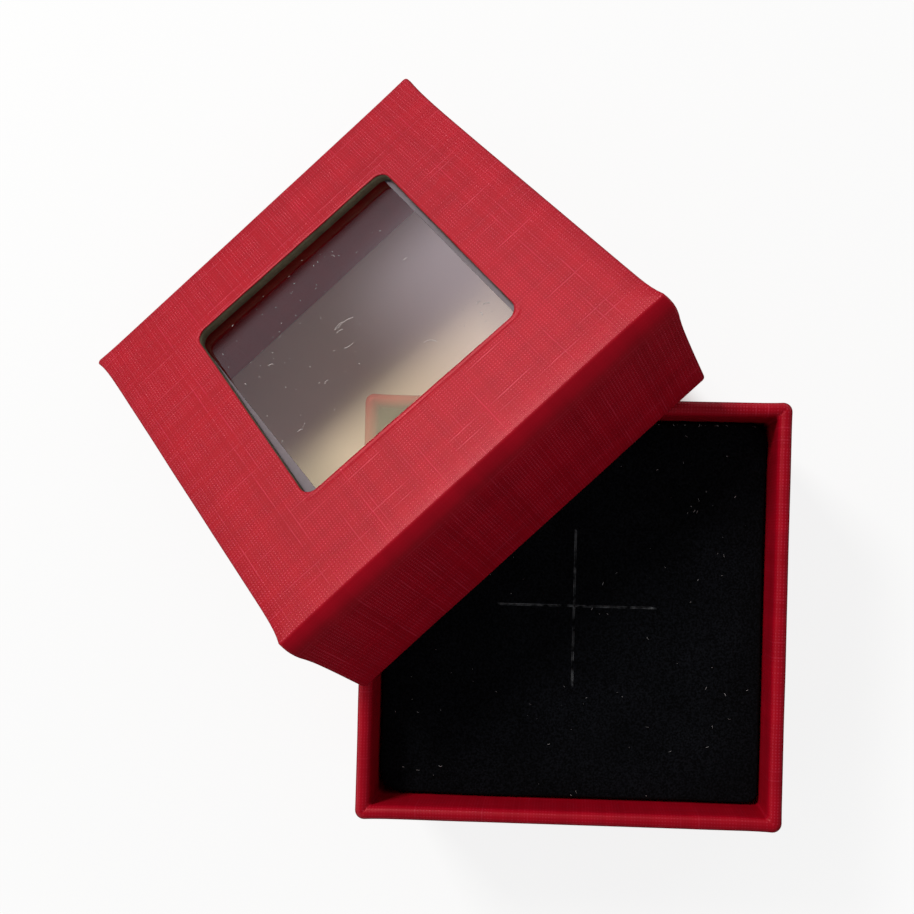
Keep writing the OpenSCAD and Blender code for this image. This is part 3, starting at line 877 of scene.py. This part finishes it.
class RINGBOX_OT_lid_tray(bpy.types.Operator):
    """Makes the lid's greyboard tray with the window cut through its panel"""
    bl_idname = "ringbox.lid_tray"
    bl_label = "Lid tray"

    def execute(self, context):
        scene = context.scene
        box, lid, shape = scene.ringbox_box, scene.ringbox_lid, shape_of(scene)
        window_half = shape.window_width / 2 + lid.inset
        tray = lid_tray(scene, box.paper)
        tray = tray._replace(wall=box.board, inner_end=shape.panel, window=window_half)
        inner = tray.half - tray.wall
        under = [Ring(inner + (window_half - inner) * step / UNDER_STEPS, LEAST_RADIUS, shape.panel,
                      0.0, 0.0, True) for step in range(1, UNDER_STEPS + 1)]
        bm = bmesh.new()

        def placed(spot, ring):
            if not ring.panel:
                return beside_panel(scene, tray, spot, ring, Vector())
            flat, _ = over_panel(scene, tray, spot, ring, window_half)
            return Vector((flat.x, flat.y, -ring.depth))

        build_wrap(bm, tray_rings(tray, box.pressed) + under, placed,
                   (window_half, lid.window_radius))
        bmesh.ops.bridge_loops(bm, edges=[edge for edge in bm.edges if edge.is_boundary])
        bmesh.ops.recalc_face_normals(bm, faces=bm.faces[:])
        finish_piece("lid_tray", bm, greyboard(scene.ringbox_finish), "lid", ["lid_board"],
                     lid_place(scene))
        return {"FINISHED"}


# ---------------------------------------------------------------- foam pad

# Width of the pad's faces, layers down its sides, how near to a line of the slit no other line is
# cut, and how near to a face of the block a vertex counts as on it.
PAD_CELL, PAD_LAYERS, LINE_CLEARANCE, ON_FACE = 0.8 * MM, 8, 0.2 * MM, 1e-6
UPRIGHT_SEGMENTS, EDGE_SEGMENTS = 8, 4
# How often the cut sides sway and fray and the flocked top is lumpy and grainy, for each metre,
# and how slowly the sway changes down the sides.
SWAY_RATE, FRAY_RATE, LUMP_RATE, GRAIN_RATE, UPRIGHT_SWAY = 95, 700, 240, 1300, 0.3
# How far it frays, how high the lumps and grains are, how far the top sinks under them, and how
# far down all that reaches.
FRAY, LUMP, GRAIN, SINK, TOP_LAYER = 0.05 * MM, 0.05 * MM, 0.025 * MM, 0.05 * MM, 0.6 * MM
# From which share of the half width the sides sway.
SWAY_START = 0.85


def bevel_edges(bm, edges, radius, segments):
    """Rounds edges."""
    bmesh.ops.bevel(bm, geom=edges, offset=radius, affect="EDGES", segments=segments, profile=0.5,
                    material=-1)


def slice_through(bm, place, normal):
    """Cuts every face along a plane."""
    bmesh.ops.bisect_plane(bm, geom=bm.verts[:] + bm.edges[:] + bm.faces[:], plane_co=place,
                           plane_no=normal)


def foam_block(bm, pad, shape):
    """The pad without its slit, each upright corner with a radius of its own."""
    tall, half = shape.pad_top - shape.panel, shape.pad_width / 2
    bmesh.ops.create_cube(bm, size=1.0)
    bmesh.ops.scale(bm, vec=(shape.pad_width, shape.pad_width, tall), verts=bm.verts[:])
    bmesh.ops.translate(bm, vec=(0, 0, shape.panel + tall / 2), verts=bm.verts[:])
    corners = ((-1, 1, pad.back_radius), (1, 1, pad.back_radius), (-1, -1, pad.left_radius),
               (1, -1, pad.right_radius))
    for right, back, radius in corners:
        upright = [edge for edge in bm.edges if all(
            vert.co.x * right > half - ON_FACE and vert.co.y * back > half - ON_FACE
            for vert in edge.verts)]
        bevel_edges(bm, upright, radius, UPRIGHT_SEGMENTS)
    top = [edge for edge in bm.edges
           if all(vert.co.z > shape.pad_top - ON_FACE for vert in edge.verts)]
    bevel_edges(bm, top, pad.edge_radius, EDGE_SEGMENTS)


def cut_small(bm, pad, shape):
    """Cuts the block into small faces, with lines along the sides and ends of the slit."""
    count = int(shape.pad_width / PAD_CELL)
    gap = pad.slit_gap / 2
    for axis, shift in ((0, pad.slit_x), (1, pad.slit_y)):
        normal = Vector((axis == 0, axis == 1, 0))
        lines = [shape.pad_width * (step / count - 0.5) for step in range(1, count)]
        marks = [shift + way * reach for way in (-1, 1)
                 for reach in (gap, gap + pad.lip, pad.slit_length / 2)]
        lines = [line for line in lines
                 if min(abs(line - mark) for mark in marks) > LINE_CLEARANCE]
        for line in lines + marks:
            slice_through(bm, normal * line, normal)
    tall = shape.pad_top - shape.panel
    for step in range(1, PAD_LAYERS):
        slice_through(bm, (0, 0, shape.panel + tall * step / PAD_LAYERS), (0, 0, 1))


def sink_slit(bm, pad, shape):
    """Sinks the cross down to its floor, and marks the bare foam along it."""
    arm, gap = pad.slit_length / 2, pad.slit_gap / 2

    def on_cross(place, reach):
        right, back = abs(place.x - pad.slit_x), abs(place.y - pad.slit_y)
        on_top = place.z > shape.pad_top - ON_FACE
        return on_top and ((right < reach and back < arm) or (back < reach and right < arm))

    bare = bm.verts.layers.float.new("bare")
    for vert in bm.verts:
        vert[bare] = float(on_cross(vert.co, gap + pad.lip / 2))
    slit = [face for face in bm.faces
            if face.normal.z > 0.9 and on_cross(face.calc_center_median(), gap)]
    made = bmesh.ops.extrude_face_region(bm, geom=slit)["geom"]
    deep = [item for item in made if isinstance(item, bmesh.types.BMVert)]
    bmesh.ops.translate(bm, vec=(0, 0, shape.panel + pad.slit_floor - shape.pad_top), verts=deep)
    bmesh.ops.delete(bm, geom=slit, context="FACES_ONLY")


def roughen(bm, hand, shape):
    """Makes the knife-cut sides sway and the flocked top lumpy."""
    for vert in bm.verts:
        place = vert.co.copy()
        edge = max(abs(place.x), abs(place.y)) / (shape.pad_width / 2)
        side = Vector((place.x, place.y, 0)).normalized()
        side *= max(0.0, edge - SWAY_START) / (1 - SWAY_START)
        spot = Vector((place.x, place.y, place.z * UPRIGHT_SWAY)) * SWAY_RATE
        sway = noise.noise(spot + Vector((2, 0, 0)))
        fray = noise.noise(place * FRAY_RATE)
        vert.co += side * (hand.pad_wave * sway + FRAY * fray)
        if place.z > shape.pad_top - TOP_LAYER:
            lump, grain = noise.noise(place * LUMP_RATE), noise.noise(place * GRAIN_RATE)
            vert.co.z += LUMP * lump + GRAIN * grain - SINK


class RINGBOX_OT_pad(bpy.types.Operator):
    """Makes the flocked foam pad with its cross slit"""
    bl_idname = "ringbox.pad"
    bl_label = "Ring pad"

    def execute(self, context):
        scene = context.scene
        pad, shape = scene.ringbox_pad, shape_of(scene)
        bm = bmesh.new()
        foam_block(bm, pad, shape)
        cut_small(bm, pad, shape)
        sink_slit(bm, pad, shape)
        roughen(bm, scene.ringbox_hand, shape)
        bmesh.ops.recalc_face_normals(bm, faces=bm.faces[:])
        piece = finish_piece("ring_pad", bm, flocked_foam(scene.ringbox_finish), "foam_insert",
                             ["foam_pad", "flocked_face"])
        return {"FINISHED"}


# ---------------------------------------------------------------- lint and dust

# How many faces long a fibre is, and how far it lies over the face below it.
FIBRE_STEPS, FIBRE_LIFT = 4, 0.02 * MM
# The fibres on the pad, in millimetres: their lengths are LINT_LENGTH times the square of a draw
# between LINT_ROOTS, so that most are short; then come their widths, arches and bends, and how far
# from the pad's edges they stay. One in BACK_EDGE_SHARE hangs along its back edge.
LINT_ROOTS, LINT_LENGTH, LINT_WIDTHS = (0.3, 1.2), 0.3, (0.02, 0.06)
LINT_ARCHES, LINT_BENDS, LINT_MARGIN, BACK_EDGE_SHARE = (0.01, 0.05), (-0.05, 0.05), 0.3, 3
# Hairs on the film, in millimetres on the lid: where, which way in degrees, how long, how bent.
HAIRS = ((-3.4, 0.2, 80, 2.3, 0.25), (-3.8, -0.7, 98, 1.3, 0.1), (-3.0, -1.0, 72, 0.9, 0.1),
         (-0.4, -1.3, 75, 1.3, -0.2), (7.7, 5.9, 45, 1.6, 0.25), (9.1, 13.4, 50, 0.9, 0.1),
         (9.7, 12.2, -10, 0.6, 0.1), (8.2, 12.9, 80, 0.6, 0.1), (-4.5, 10.5, 85, 0.7, 0.0),
         (4.3, -11.9, 70, 0.7, 0.1), (-6.6, -9.9, 60, 0.7, 0.1), (1.5, -6.0, 100, 0.6, 0.1))
HAIR_WIDTH, HAIR_ARCH = 0.065, 0.03
# Where most of the specks lie, how far they scatter round it along the lid's X and Y, how far
# from the window's middle they still lie, and their sizes, all in millimetres.
HAZY_SPOTS = ((-13.5, -6.0), (-13.5, 5.0), (-8.0, -8.0), (7.5, 12.0), (4.0, -9.0), (0.0, 0.0))
SPECK_SCATTER, SPECK_REACH = (2.2, 4.0), 14.5
SPECK_LENGTHS, SPECK_WIDTHS, SPECK_ARCH = (0.06, 0.3), (0.03, 0.06), 0.01


def add_fibre(bm, start, turn, size, bend):
    """Adds one thin flat strip of this length, width and arch, turned this way and bent."""
    long, wide, high = size
    along, up = Vector((math.cos(turn), math.sin(turn), 0)), Vector((0, 0, 1))
    side = up.cross(along)
    made = bmesh.ops.create_grid(bm, x_segments=FIBRE_STEPS, y_segments=1, size=0.5)["verts"]
    for vert in made:
        run, lane = vert.co.x, vert.co.y
        arch = 1 - 4 * run * run
        vert.co = (start + along * (run * long) + side * (lane * wide + bend * arch)
                   + up * (high * arch + FIBRE_LIFT))


class RINGBOX_OT_lint(bpy.types.Operator):
    """Scatters the lint fibres that cling to the black pad"""
    bl_idname = "ringbox.lint"
    bl_label = "Lint"

    def execute(self, context):
        scene = context.scene
        hand, shape = scene.ringbox_hand, shape_of(scene)
        chance = random.Random(hand.seed)
        reach = shape.pad_width / 2 - LINT_MARGIN * MM
        bm = bmesh.new()
        for number in range(hand.lint):
            place = Vector((chance.uniform(-reach, reach), chance.uniform(-reach, reach),
                            shape.pad_top))
            if number % BACK_EDGE_SHARE == 0:
                place.y = reach
            turn = chance.uniform(0, 2 * math.pi)
            size = (chance.uniform(*LINT_ROOTS) ** 2 * LINT_LENGTH * MM,
                    chance.uniform(*LINT_WIDTHS) * MM, chance.uniform(*LINT_ARCHES) * MM)
            add_fibre(bm, place, turn, size, chance.uniform(*LINT_BENDS) * MM)
        finish_piece("pad_lint", bm, lint_fibre("textile_lint", scene.ringbox_finish.lint),
                     "foam_insert", [])
        return {"FINISHED"}


class RINGBOX_OT_dust(bpy.types.Operator):
    """Lays the few hairs and specks of dust on the window film"""
    bl_idname = "ringbox.dust"
    bl_label = "Dust on the film"

    def execute(self, context):
        scene = context.scene
        hand, lid = scene.ringbox_hand, scene.ringbox_lid
        chance = random.Random(hand.seed + 1)
        bm = bmesh.new()
        for x, y, degrees, long, bend in HAIRS:
            add_fibre(bm, Vector((x * MM, y * MM, -lid.film_depth)), math.radians(degrees),
                      (long * MM, HAIR_WIDTH * MM, HAIR_ARCH * MM), bend * MM)
        reach = SPECK_REACH * MM
        for number in range(hand.dust):
            across, along = HAZY_SPOTS[number % len(HAZY_SPOTS)]
            x = chance.gauss(across, SPECK_SCATTER[0]) * MM
            y = chance.gauss(along, SPECK_SCATTER[1]) * MM
            place = Vector((lid.window_x + max(-reach, min(reach, x - lid.window_x)),
                            lid.window_y + max(-reach, min(reach, y - lid.window_y)),
                            -lid.film_depth))
            turn = chance.uniform(0, 2 * math.pi)
            size = (chance.uniform(*SPECK_LENGTHS) * MM, chance.uniform(*SPECK_WIDTHS) * MM,
                    SPECK_ARCH * MM)
            add_fibre(bm, place, turn, size, 0.0)
        finish_piece("film_dust", bm, lint_fibre("pale_dust", scene.ringbox_finish.dust), "lid", [],
                     lid_place(scene))
        return {"FINISHED"}


# ---------------------------------------------------------------- corner stays and film

# The stays: their legs along both walls, how thick they are, how far they end from the table and
# the rim, and how much deeper than the paper they lie, so that none shows through it.
STAY_LEG, STAY_THICKNESS, STAY_MARGIN, STAY_DEEPER = 7.0 * MM, 0.1 * MM, 1.5 * MM, 0.03 * MM


def corner_stay(name, node, tray, turn, low, high, material, body, place=None):
    """One strip of gummed paper round a corner of the board: a leg along each wall and the corner
    between them. turn is the quarter turns from the corner at +X and +Y."""
    radius = max(LEAST_RADIUS, tray.corner)
    middle = tray.half - radius
    arc = radius * math.pi / 2
    bm = bmesh.new()
    bmesh.ops.create_grid(bm, x_segments=36, y_segments=6, size=0.5)
    for vert in bm.verts:
        run = vert.co.x * (2 * STAY_LEG + arc)
        turned = math.pi / 4 + max(-arc / 2, min(arc / 2, run)) / radius
        over = math.copysign(max(0.0, abs(run) - arc / 2), run)
        flat = Vector((middle, middle)) + radius * Vector((math.cos(turned), math.sin(turned)))
        flat += over * Vector((-math.sin(turned), math.cos(turned)))
        vert.co = (flat.x, flat.y, low + (high - low) * (vert.co.y + 0.5))
    bmesh.ops.rotate(bm, cent=(0, 0, 0), matrix=Matrix.Rotation(turn * math.pi / 2, 3, "Z"),
                     verts=bm.verts[:])
    piece = finish_piece(name, bm, material, body, [node], place)
    thicken(piece, STAY_THICKNESS)


class RINGBOX_OT_stays(bpy.types.Operator):
    """Tapes the corners of both trays with gummed kraft paper, under the red paper"""
    bl_idname = "ringbox.stays"
    bl_label = "Corner stays"

    def execute(self, context):
        scene = context.scene
        box, lid = scene.ringbox_box, scene.ringbox_lid
        stay = kraft_tape(scene.ringbox_finish)
        tray = base_tray(scene, box.paper + STAY_DEEPER)
        for turn, corner in enumerate(("back_right", "back_left", "front_left", "front_right")):
            corner_stay("base_stay_" + corner, "base_corner_stay_" + corner, tray, turn,
                        STAY_MARGIN, box.height - STAY_MARGIN, stay, "base")
        # The lid's stays start below the slanted band, which would let them show.
        tray = lid_tray(scene, box.paper + STAY_DEEPER)
        band = lid.fold_radius + lid.slant_length
        for turn, corner in enumerate(("raised_right", "floor_right", "floor_left", "raised_left")):
            corner_stay("lid_stay_" + corner, "lid_corner_stay_" + corner, tray, turn,
                        STAY_MARGIN - lid.height, -band, stay, "lid", lid_place(scene))
        return {"FINISHED"}


class RINGBOX_OT_film(bpy.types.Operator):
    """Gives the window film and its tape strips their materials"""
    bl_idname = "ringbox.film"
    bl_label = "Window film and tape"

    def execute(self, context):
        finish = context.scene.ringbox_finish
        tape = film_tape(finish)
        set_material(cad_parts["window_film"], clear_film(finish))
        for side in ("left", "right"):
            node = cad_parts["film_tape_" + side]
            set_material(node, tape)
        return {"FINISHED"}


# ---------------------------------------------------------------- stage

# The camera, as the fit to the photo gave it: picture and focal length in pixels, the sensor in
# millimetres, the optical centre in pixels, and the clipping in metres.
FRAME_PIXELS, FOCAL_PIXELS, SENSOR = 914, 1040.24, 36.0
CENTRE_RIGHT, CENTRE_DOWN = 539.54, 538.32
CLIP_NEAR, CLIP_FAR = 0.01, 20.0
# The key light in metres: what it points at, from which side and how far, and how wide it is.
KEY_TARGET, KEY_SIDE = (-0.01, 0.015, 0.02), (-0.5, 0.54, 0.68)
KEY_DISTANCE, KEY_WIDTH, KEY_TINT = 0.6, 0.14, "#FFFDF9"
# The floor in metres, just under the box, and what bounced light sees of it.
FLOOR_HALF, FLOOR_GAP, FLOOR_TINT = 3.0, 0.02 * MM, "#CBC8C5"
# Where the shade under the lid ends and where the floor is white, counted in half widths of the
# lid's shadow, and how bright the floor is between them.
SHADE_END, WHITE_REACH, NEAR_WHITE = (0.95, 1.15), (3.0, 8.0), 0.85
# The room that the film reflects. Its walls are turned to face the lid, and stand this far away.
WALL_TURN, WALL_DISTANCE = math.radians(45), 0.47
# The lit wall: width and height in metres; then, in millimetres, the heights between which its
# faint, grey and cream parts start, and the places across it between which the grey part starts
# and the cream part fades to its last share.
WALL_SIZE = (0.6, 0.26)
FAINT_EDGE, GREY_EDGE, CREAM_EDGE = (104.5, 109.5), (110, 150), (165, 197)
GREY_START, CREAM_FADE, CREAM_LEAST = (-10, 75), (-50, 70), 0.35
GREY_TINT, CREAM_TINT, BLACK_CARD = "#FFF3FF", "#FFEFBC", "#0A0A0A"
# The dark cards: name, width, height, place and tip in degrees; the first two stand on the floor
# and are turned with the wall.
WALL_CARDS = (("card_behind", 1.1, 0.5, (0, WALL_DISTANCE + 0.05, 0)),
              ("card_in_front", 1.1, 0.5, (0, -0.1, 0)))
FLAT_CARDS = (("card_overhead", 0.5, 0.5, (0, 0.25, 0.3), 90),
              ("card_below", 0.24, 0.24, (0, -0.12, 0.01 * MM), -90))


def seen_rays(tree):
    """1 for rays that end in the camera, straight, by a reflection or through something clear,
    and 0 for light that only bounces about."""
    path = add(tree, "LightPath", out="Is Camera Ray")
    seen = add(tree, "Math", {0: path, 1: path.node.outputs["Is Glossy Ray"]}, operation="MAXIMUM")
    return add(tree, "Math", {0: seen, 1: path.node.outputs["Is Transmission Ray"]},
               operation="MAXIMUM")


def reflected_card(name, material, width, tall, place):
    """A card that only reflections show: its foot is at the origin of place, facing local -Y."""
    bm = bmesh.new()
    bmesh.ops.create_grid(bm, x_segments=1, y_segments=1, size=0.5)
    bmesh.ops.scale(bm, vec=(width, tall, 1), verts=bm.verts[:])
    bmesh.ops.translate(bm, vec=(0, tall / 2, 0), verts=bm.verts[:])
    bmesh.ops.transform(bm, matrix=place @ Matrix.Rotation(math.radians(90), 4, "X"),
                        verts=bm.verts[:])
    card = new_object(name, bm)
    card.visible_camera = False
    card.visible_diffuse = False
    card.visible_shadow = False
    set_material(card, material)


class RINGBOX_OT_stage(bpy.types.Operator):
    """Makes the camera, the light, the floor and the room that the film reflects"""
    bl_idname = "ringbox.stage"
    bl_label = "Stage"

    def execute(self, context):
        scene = context.scene
        self.camera(scene)
        self.key_light(scene)
        self.lit_wall(scene)
        self.floor(scene)
        self.dark_cards()
        self.surroundings(scene)
        scene.view_settings.view_transform = "Standard"
        return {"FINISHED"}

    def camera(self, scene):
        """The camera of the photo, with its optical centre off the middle."""
        stage = scene.ringbox_stage
        data = bpy.data.cameras.new("camera")
        data.sensor_width = SENSOR
        data.lens = FOCAL_PIXELS * SENSOR / FRAME_PIXELS
        data.shift_x = (FRAME_PIXELS / 2 - CENTRE_RIGHT) / FRAME_PIXELS
        data.shift_y = (CENTRE_DOWN - FRAME_PIXELS / 2) / FRAME_PIXELS
        data.clip_start, data.clip_end = CLIP_NEAR, CLIP_FAR
        camera = bpy.data.objects.new("camera", data)
        turn = (Matrix.Rotation(stage.roll, 4, "Z") @ Matrix.Rotation(stage.tilt, 4, "Y")
                @ Matrix.Rotation(stage.tip, 4, "X"))
        place = Vector((stage.camera_x, stage.camera_y, stage.camera_z))
        camera.matrix_world = Matrix.Translation(place) @ turn
        scene.collection.objects.link(camera)
        scene.camera = camera

    def key_light(self, scene):
        """A soft light that makes white paper facing it as bright as the setting says."""
        data = bpy.data.lights.new("key_light", "AREA")
        data.size = KEY_WIDTH
        data.energy = scene.ringbox_stage.key * (math.pi * KEY_DISTANCE) ** 2
        data.color = linear(KEY_TINT)
        light = bpy.data.objects.new("key_light", data)
        side = Vector(KEY_SIDE).normalized()
        light.location = Vector(KEY_TARGET) + side * KEY_DISTANCE
        light.rotation_mode = "QUATERNION"
        light.rotation_quaternion = (-side).to_track_quat("-Z", "Y")
        scene.collection.objects.link(light)

    def floor(self, scene):
        """A floor that looks white and throws back greyer light. Under the lid it only reflects,
        so that it looks shaded through the film."""
        bm = bmesh.new()
        bmesh.ops.create_grid(bm, x_segments=1, y_segments=1, size=FLOOR_HALF)
        bmesh.ops.translate(bm, vec=(0, 0, -FLOOR_GAP), verts=bm.verts[:])
        floor = new_object("floor", bm)
        lid, lid_half = scene.ringbox_lid, shape_of(scene).lid_width / 2
        floor_rim = lid_place(scene) @ Vector((-lid_half, 0, -lid.height))
        raised_rim = lid_place(scene) @ Vector((lid_half, 0, -lid.height))
        middle = (floor_rim + raised_rim) / 2
        half_run = (raised_rim - floor_rim).xy.length / 2
        material, tree = new_material("pale_floor")
        place = add(tree, "TexCoord", out="Object")
        place = add(tree, "VectorMath", {0: place, 1: (middle.x, middle.y, 0)},
                    operation="SUBTRACT")
        place = add(tree, "VectorRotate", {"Vector": place, "Angle": -lid.yaw},
                    rotation_type="Z_AXIS")
        place = add(tree, "VectorMath", {0: place}, operation="ABSOLUTE")
        place = add(tree, "VectorMath", {0: place, 1: (half_run, lid_half, 1)}, operation="DIVIDE")
        place = add(tree, "SeparateXYZ", {0: place})
        reach = add(tree, "Math", {0: place, 1: place.node.outputs["Y"]}, operation="MAXIMUM")
        glowing = add(tree, "MapRange", {0: reach, 1: SHADE_END[0], 2: SHADE_END[1]},
                      interpolation_type="SMOOTHSTEP")
        whiter = add(tree, "MapRange", {0: reach, 1: WHITE_REACH[0], 2: WHITE_REACH[1],
                                        3: NEAR_WHITE})
        glowing = add(tree, "Math", {0: glowing, 1: whiter}, operation="MULTIPLY")
        lit = add(tree, "BsdfDiffuse", {"Color": opaque(linear(FLOOR_TINT))})
        white = add(tree, "BsdfDiffuse", {"Color": (1.0, 1.0, 1.0, 1.0)})
        # The glow is painted light: beyond the lid's footprint it pales the box's own shadow on the floor,
        # and under the lid the floor shows only its real shading.
        glow = add(tree, "Emission", {"Color": (1.0, 1.0, 1.0, 1.0), "Strength": 1.0})
        shown = add(tree, "MixShader", {0: glowing, 1: white, 2: glow})
        surface = add(tree, "MixShader", {0: seen_rays(tree), 1: lit, 2: shown})
        add(tree, "OutputMaterial", {"Surface": surface})
        set_material(floor, material)

    def dark_cards(self):
        """The dark room behind the lid, over the camera and in front of the lid's raised side.
        Only reflections show it."""
        material, tree = new_material("black_card")
        surface = add(tree, "BsdfDiffuse", {"Color": opaque(linear(BLACK_CARD))})
        add(tree, "OutputMaterial", {"Surface": surface})
        turned = Matrix.Rotation(WALL_TURN, 4, "Z")
        for name, width, tall, place in WALL_CARDS:
            reflected_card(name, material, width, tall, turned @ Matrix.Translation(place))
        for name, width, tall, place, tip in FLAT_CARDS:
            tipped = Matrix.Rotation(math.radians(tip), 4, "X")
            reflected_card(name, material, width, tall, Matrix.Translation(place) @ tipped)

    def lit_wall(self, scene):
        """The lit part of the room that the film reflects: a faint grey wall, brighter to the
        right, and a cream one above it. Only reflections show it."""
        stage = scene.ringbox_stage
        material, tree = new_material("lit_wall")
        place = add(tree, "TexCoord", out="Object")
        place = add(tree, "VectorRotate", {"Vector": place, "Angle": -WALL_TURN},
                    rotation_type="Z_AXIS")
        across = add(tree, "SeparateXYZ", {0: place})
        edges = ((FAINT_EDGE, stage.faint), (GREY_EDGE, stage.grey), (CREAM_EDGE, stage.panel))
        faint, grey, cream = [
            add(tree, "MapRange", {0: across.node.outputs["Z"], 1: low * MM, 2: high * MM, 4: level},
                interpolation_type="SMOOTHSTEP") for (low, high), level in edges]
        right = add(tree, "MapRange", {0: across, 1: GREY_START[0] * MM, 2: GREY_START[1] * MM},
                    interpolation_type="SMOOTHSTEP")
        left = add(tree, "MapRange", {0: across, 1: CREAM_FADE[0] * MM, 2: CREAM_FADE[1] * MM,
                                      3: 1.0, 4: CREAM_LEAST})
        grey = add(tree, "Math", {0: grey, 1: right, 2: faint}, operation="MULTIPLY_ADD")
        cream = add(tree, "Math", {0: cream, 1: left}, operation="MULTIPLY")
        grey = add(tree, "Emission", {"Color": opaque(linear(GREY_TINT)), "Strength": grey})
        cream = add(tree, "Emission", {"Color": opaque(linear(CREAM_TINT)), "Strength": cream})
        add(tree, "OutputMaterial", {"Surface": add(tree, "AddShader", {0: grey, 1: cream})})
        turned = Matrix.Rotation(WALL_TURN, 4, "Z")
        reflected_card("lit_wall", material, *WALL_SIZE,
                       turned @ Matrix.Translation((0, WALL_DISTANCE, 0)))

    def surroundings(self, scene):
        """A room that looks white and gives an even, weaker light."""
        world = bpy.data.worlds.new("surroundings")
        scene.world = world
        world.use_nodes = True
        tree = world.node_tree
        tree.nodes.clear()
        strength = add(tree, "MapRange", {0: seen_rays(tree), 3: scene.ringbox_stage.ambient})
        sky = add(tree, "Background", {"Color": (1.0, 1.0, 1.0, 1.0), "Strength": strength})
        add(tree, "OutputWorld", {"Surface": sky})


# ---------------------------------------------------------------- panel and registration

class RINGBOX_PT_pieces(bpy.types.Panel):
    """Lists the pieces of the ring box"""
    bl_label = "Ring box"
    bl_space_type = "VIEW_3D"
    bl_region_type = "UI"
    bl_category = "Ring box"

    def draw(self, context):
        for operator in OPERATORS:
            self.layout.operator(operator.bl_idname)
        for name, group in GROUPS.items():
            column = self.layout.column(align=True)
            column.label(text=group.__doc__)
            for field in group.__annotations__:
                column.prop(getattr(context.scene, name), field)


OPERATORS = (RINGBOX_OT_base_tray, RINGBOX_OT_base_paper, RINGBOX_OT_lid_tray,
             RINGBOX_OT_lid_paper, RINGBOX_OT_pad, RINGBOX_OT_lint, RINGBOX_OT_dust,
             RINGBOX_OT_stays, RINGBOX_OT_film, RINGBOX_OT_stage)
GROUPS = {
    "ringbox_box": RINGBOX_PG_box,
    "ringbox_lid": RINGBOX_PG_lid,
    "ringbox_pad": RINGBOX_PG_pad,
    "ringbox_hand": RINGBOX_PG_hand,
    "ringbox_finish": RINGBOX_PG_finish,
    "ringbox_stage": RINGBOX_PG_stage,
}


def register():
    """Registers the classes and puts the settings on the scene."""
    for group in GROUPS.values():
        bpy.utils.register_class(group)
    for operator in OPERATORS:
        bpy.utils.register_class(operator)
    bpy.utils.register_class(RINGBOX_PT_pieces)
    for name, group in GROUPS.items():
        setattr(bpy.types.Scene, name, bpy.props.PointerProperty(type=group))


def unregister():
    """Takes the settings off the scene and the classes out again."""
    for name in GROUPS:
        delattr(bpy.types.Scene, name)
    bpy.utils.unregister_class(RINGBOX_PT_pieces)
    for operator in reversed(OPERATORS):
        bpy.utils.unregister_class(operator)
    for group in reversed(GROUPS.values()):
        bpy.utils.unregister_class(group)


def main():
    """Makes the stage and every piece."""
    register()
    bpy.ops.ringbox.stage()
    bpy.ops.ringbox.base_tray()
    bpy.ops.ringbox.base_paper()
    bpy.ops.ringbox.lid_tray()
    bpy.ops.ringbox.lid_paper()
    bpy.ops.ringbox.pad()
    bpy.ops.ringbox.lint()
    bpy.ops.ringbox.stays()
    bpy.ops.ringbox.film()
    bpy.ops.ringbox.dust()


if __name__ == "__main__":
    main()
